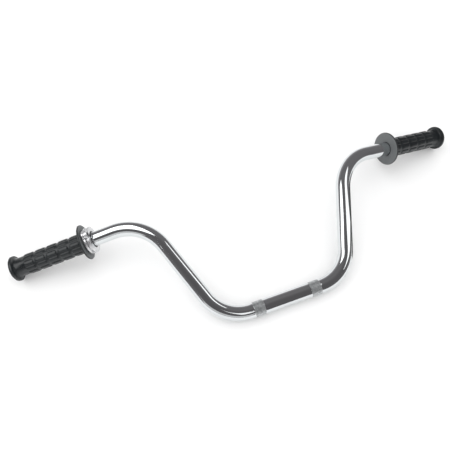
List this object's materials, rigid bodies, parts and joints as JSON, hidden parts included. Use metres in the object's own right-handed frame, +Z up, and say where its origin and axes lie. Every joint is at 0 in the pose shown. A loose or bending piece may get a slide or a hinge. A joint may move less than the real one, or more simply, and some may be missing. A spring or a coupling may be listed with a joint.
{
  "type": "handlebar",
  "caption": "Bent chromed steel motorcycle handlebar with knurled clamp bands, a twist-throttle tube with a cable drum, and ribbed rubber grips",
  "frame": {"origin": "centre of the clamp section, on the tube's axis", "axes": "+X along the clamp section towards the rider's left grip; the bar lies on its back, so +Y, the way the risers lead, is up on the motorcycle; +Z up from the bench is forward on the motorcycle"},
  "size_m": [0.7276, 0.2086, 0.0699],
  "materials": {
    "chrome_steel": "bright chrome plate on steel tube, matt cross-hatched knurling at the two clamp bands",
    "black_sleeve": "satin black moulded plastic with light scuffs",
    "cast_aluminium": "bright die-cast aluminium, turned faces",
    "black_rubber": "semi-gloss black moulded rubber with raised pads"
  },
  "bodies": {
    "bar": {"handlebar_tube": "chrome_steel"},
    "throttle": {"throttle_sleeve": "black_sleeve", "throttle_drum": "cast_aluminium"},
    "right_grip": {"grip_right": "black_rubber"},
    "left_grip": {"grip_left": "black_rubber"}
  },
  "joints": [
    {"name": "throttle_twist", "type": "hinge", "parent": "bar", "child": "throttle", "pos_m": [-0.356, 0.1764, 0.00777], "axis": [-0.9754, 0.0498, -0.2149], "range_deg": [0, 75]},
    {"name": "right_grip_pull_off", "type": "slide", "parent": "throttle", "child": "right_grip", "axis": [-0.9754, 0.0498, -0.2149], "range_m": [0, 0.125]},
    {"name": "left_grip_pull_off", "type": "slide", "parent": "bar", "child": "left_grip", "axis": [0.9754, 0.0498, -0.2149], "range_m": [0, 0.125]}
  ]
}
